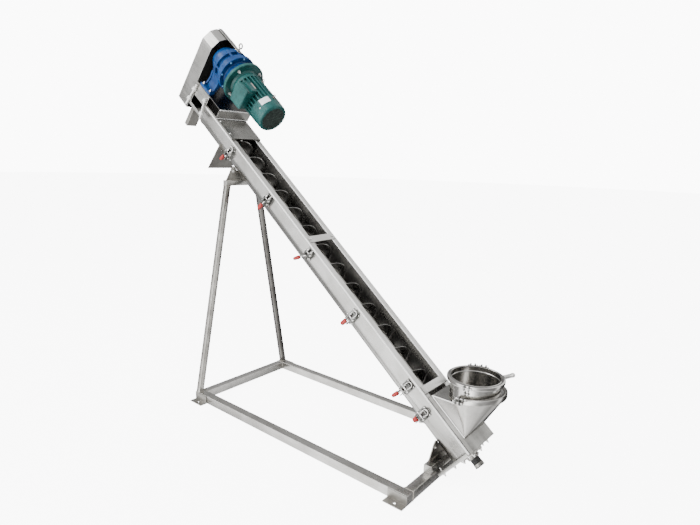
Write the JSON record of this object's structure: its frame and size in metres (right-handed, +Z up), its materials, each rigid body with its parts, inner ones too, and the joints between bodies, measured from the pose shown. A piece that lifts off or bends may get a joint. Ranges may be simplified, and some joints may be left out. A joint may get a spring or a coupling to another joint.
{
  "type": "inclined screw conveyor",
  "caption": "Inclined stainless screw conveyor on a floor frame, with a round feed hopper, an open-topped trough and a chain drive at the raised head.",
  "frame": {"origin": "centre of the machine's outline, on the floor", "axes": "+Z up, +X from the raised head down to the feed hopper, +Y away from the side that holds the terminal box"},
  "size_m": [2.895, 1.0216, 2.7772],
  "materials": {
    "stainless_steel": "satin",
    "blue_paint": "gloss",
    "green_paint": "gloss"
  },
  "bodies": {
    "conveyor": {"base_rail_near": "stainless_steel", "base_rail_far": "stainless_steel", "base_cross_rear": "stainless_steel", "base_cross_front": "stainless_steel", "foot_rear_near": "stainless_steel", "foot_rear_far": "stainless_steel", "foot_front_near": "stainless_steel", "foot_front_far": "stainless_steel", "leg_near": "stainless_steel", "leg_far": "stainless_steel", "leg_crossbar": "stainless_steel", "saddle_rear": "stainless_steel", "front_block": "stainless_steel", "saddle_front": "stainless_steel", "trough_feed": "stainless_steel", "trough_lower": "stainless_steel", "trough_middle": "stainless_steel", "trough_upper": "stainless_steel", "trough_head": "stainless_steel", "end_plate_low": "stainless_steel", "end_plate_head": "stainless_steel", "cover_upper": "stainless_steel", "cover_lower": "stainless_steel", "tie_strap": "stainless_steel", "opening_lip": "stainless_steel", "outlet_baffle": "stainless_steel", "bearing_low": "stainless_steel", "bearing_head": "stainless_steel", "guard": "stainless_steel", "guard_strap": "stainless_steel", "guard_shoe": "stainless_steel", "drive_stand": "stainless_steel", "stand_side_near": "stainless_steel", "stand_side_far": "stainless_steel", "drive_shaft": "stainless_steel", "reducer": "blue_paint", "adapter_flange": "green_paint", "motor": "green_paint", "fan_cowl": "green_paint", "terminal_box": "green_paint", "hopper_neck": "stainless_steel", "hopper_tube": "stainless_steel", "ring_lower": "stainless_steel", "ring_upper": "stainless_steel", "hopper_lever": "stainless_steel"},
    "screw": {"screw_pipe": "stainless_steel", "screw_flight": "stainless_steel"}
  },
  "joints": [
    {"name": "screw_spin", "type": "hinge", "parent": "conveyor", "child": "screw", "pos_m": [1.07354, 0, 0.33587], "axis": [-0.77, 0, 0.6381], "continuous": true}
  ]
}
